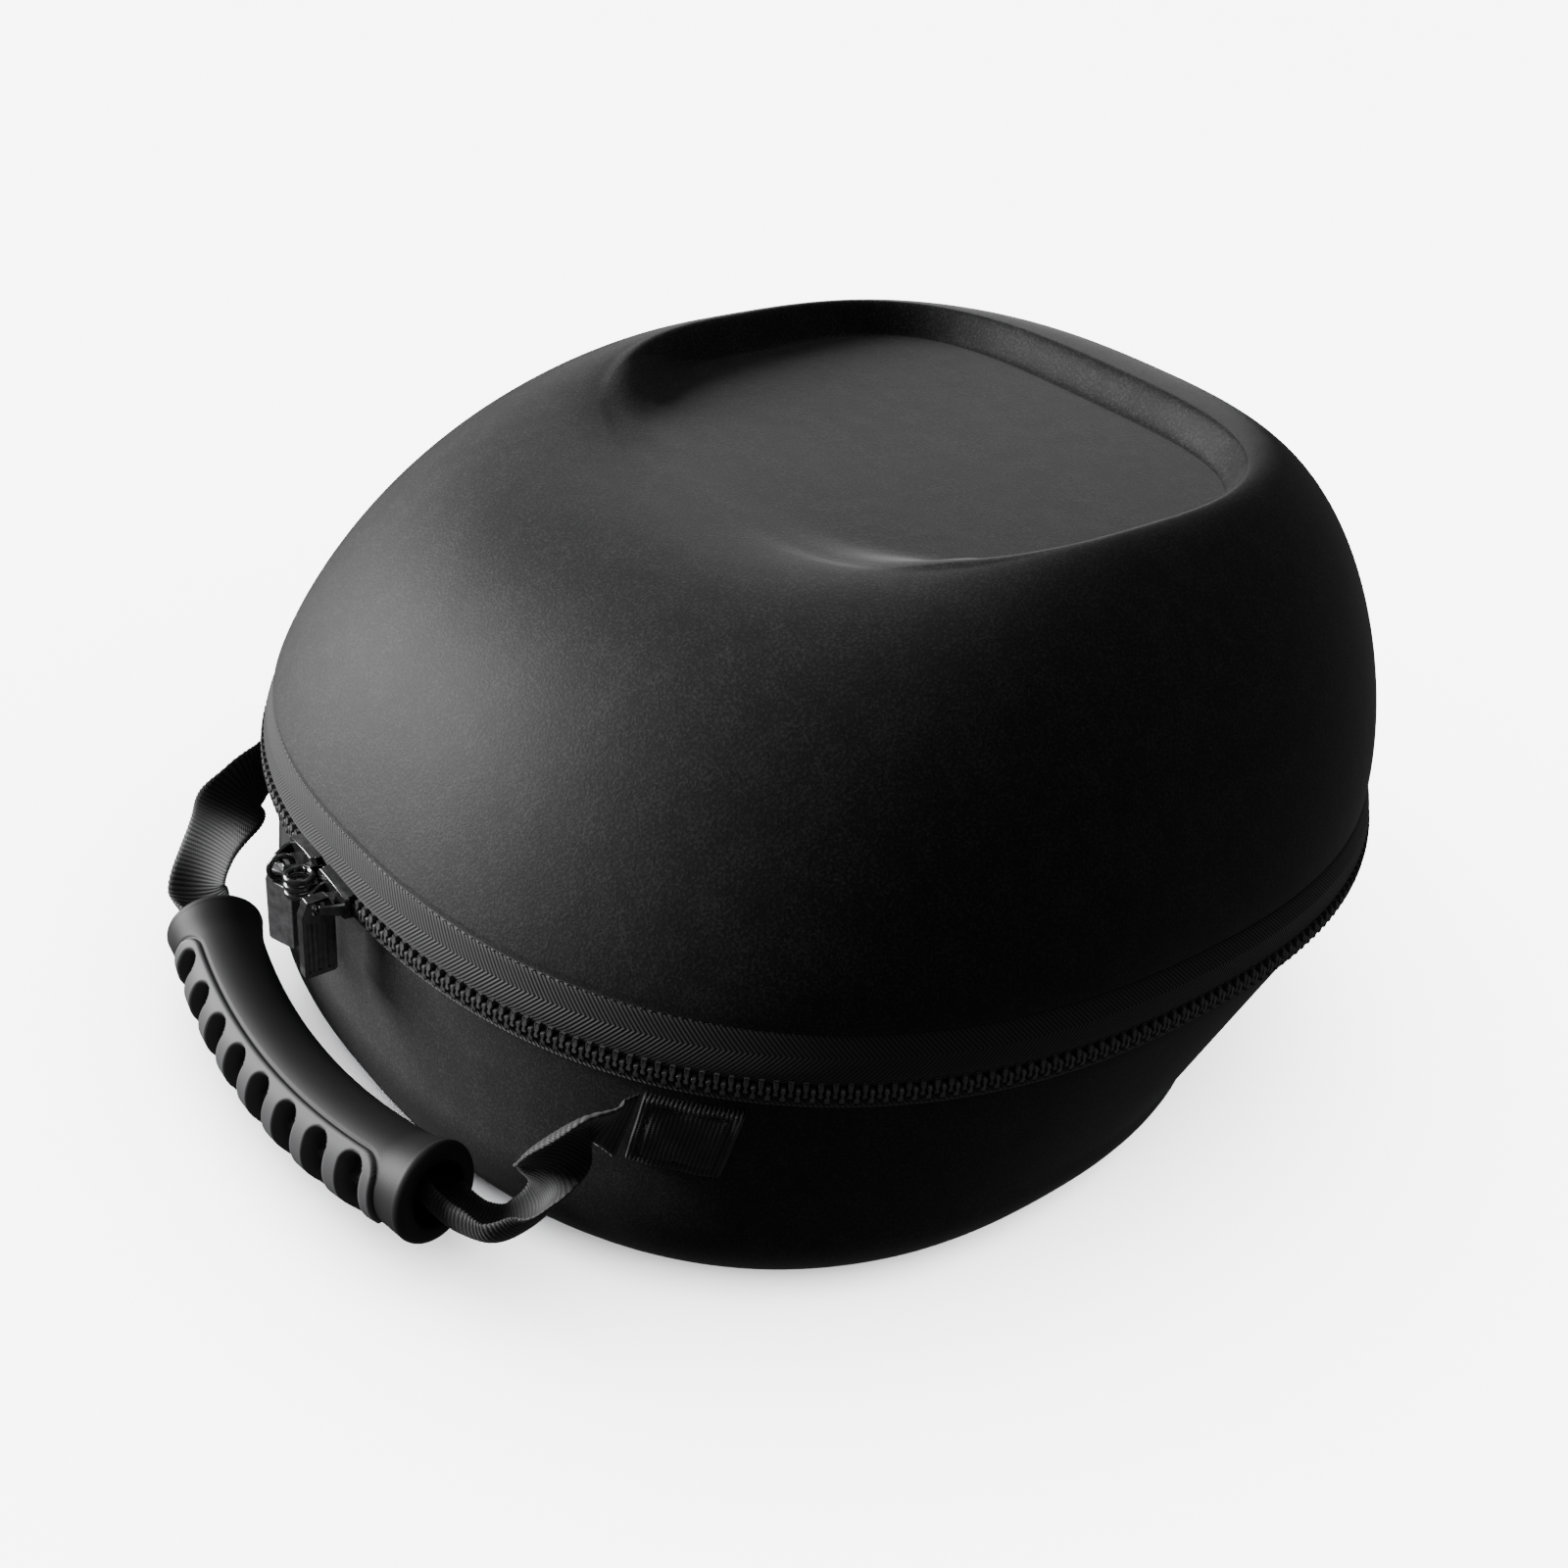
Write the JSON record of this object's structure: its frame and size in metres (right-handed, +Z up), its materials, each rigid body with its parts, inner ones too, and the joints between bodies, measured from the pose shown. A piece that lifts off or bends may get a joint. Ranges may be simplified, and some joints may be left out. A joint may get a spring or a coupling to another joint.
{
  "type": "helmet bag",
  "caption": "Hard-shell helmet bag: domed lid with a sunken top panel, zip round the widest line, hanging pull tabs and a slotted rubber carrying grip on webbing.",
  "frame": {"origin": "on the flat bottom, under the middle of the zip line", "axes": "+Z up, -Y towards the front with the carrying grip, +X to the right seen from the front"},
  "size_m": [0.3015, 0.3454, 0.171],
  "materials": {
    "shell_fabric": "matte black laminated fabric over moulded foam",
    "zip_tape": "black woven tape",
    "zip_resin": "satin black moulded resin",
    "slider_metal": "gloss black enamelled cast metal",
    "webbing": "black ribbed webbing",
    "grip_rubber": "smooth dark grey rubber"
  },
  "bodies": {
    "case": {"lid_shell": "shell_fabric", "lower_shell": "shell_fabric", "upper_zip_tape": "zip_tape", "lower_zip_tape": "zip_tape", "left_zip_teeth": "zip_resin", "right_zip_teeth": "zip_resin", "hinge_cloth": "zip_tape", "left_slider": "slider_metal", "right_slider": "slider_metal", "left_strap_anchor": "webbing", "right_strap_anchor": "webbing", "left_strap": "webbing", "right_strap": "webbing", "carry_grip": "grip_rubber"},
    "left_pull": {"left_pull_link": "slider_metal", "left_pull_tab": "slider_metal"},
    "right_pull": {"right_pull_tab": "slider_metal"}
  },
  "joints": [
    {"name": "left_pull_swing", "type": "hinge", "parent": "case", "child": "left_pull", "pos_m": [-0.02051, -0.16416, 0.073], "axis": [-0.9978, 0.0662, 0], "range_deg": [-8, 150]},
    {"name": "right_pull_swing", "type": "hinge", "parent": "case", "child": "right_pull", "pos_m": [-0.00002, -0.1648, 0.073], "axis": [-1, 0.0024, 0], "range_deg": [-4, 150]}
  ]
}
